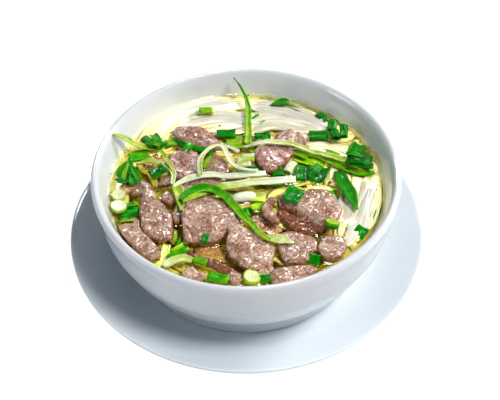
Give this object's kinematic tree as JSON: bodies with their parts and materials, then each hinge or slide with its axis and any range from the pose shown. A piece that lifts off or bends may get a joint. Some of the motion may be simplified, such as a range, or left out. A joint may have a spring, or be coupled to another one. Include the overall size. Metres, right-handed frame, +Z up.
{
  "type": "pho noodle soup",
  "caption": "Bowl of beef noodle soup: sliced beef, flat rice noodles and spring onion in clear broth, in a plain white round bowl on its saucer.",
  "frame": {"origin": "on the table under the middle of the saucer's foot ring", "axes": "+Z up along the bowl's axis, -Y towards the person who eats, +X to that person's right"},
  "size_m": [0.252, 0.252, 0.0891],
  "materials": {
    "porcelain": "glossy white glaze",
    "broth": "clear yellow liquid",
    "rice_noodle": "wet, slightly translucent",
    "beef": "wet cooked meat",
    "onion_green": "wet leaf",
    "onion_light_green": "wet leaf",
    "onion_white": "wet stalk"
  },
  "bodies": {
    "root": {"beef_at_wall": "beef", "beef_back_left": "beef", "beef_back_right": "beef", "beef_beside_large": "beef", "beef_broad_front": "beef", "beef_centre": "beef", "beef_centre_left": "beef", "beef_crimped_edge": "beef", "beef_crumple": "beef", "beef_curled_lobe": "beef", "beef_far_left": "beef", "beef_fold_left": "beef", "beef_fold_under": "beef", "beef_folded": "beef", "beef_front": "beef", "beef_front_left": "beef", "beef_front_small": "beef", "beef_large": "beef", "beef_long_left": "beef", "beef_pocket": "beef", "beef_right_of_leaf": "beef", "beef_round": "beef", "beef_small_pink": "beef", "beef_under_strands": "beef", "bowl": "porcelain", "broth": "broth", "cut_back_dark": "onion_green", "cut_back_leaf": "onion_green", "cut_back_light": "onion_light_green", "cut_behind_beef": "onion_green", "cut_dark_leaf": "onion_green", "cut_front": "onion_green", "cut_left_cluster": "onion_green", "cut_left_front": "onion_green", "cut_left_square": "onion_green", "cut_left_wall": "onion_green", "cut_middle_dark": "onion_green", "cut_middle_right": "onion_green", "cut_middle_white": "onion_white", "cut_on_beef": "onion_green", "cut_right_back": "onion_green", "cut_right_long": "onion_green", "cut_right_wall": "onion_green", "cut_tube_right": "onion_green", "leaf_back": "onion_light_green", "leaf_middle": "onion_green", "leaf_on_noodles": "onion_green", "leaf_tall": "onion_green", "noodles": "rice_noodle", "saucer": "porcelain", "strand_at_wall": "onion_light_green", "strand_front_green": "onion_green", "strand_front_pale": "onion_white", "strand_left": "onion_white", "strand_loop": "onion_white", "strand_middle": "onion_white", "strand_right_green": "onion_light_green", "strand_right_pale": "onion_white", "strand_thick_white": "onion_white"}
  },
  "joints": []
}
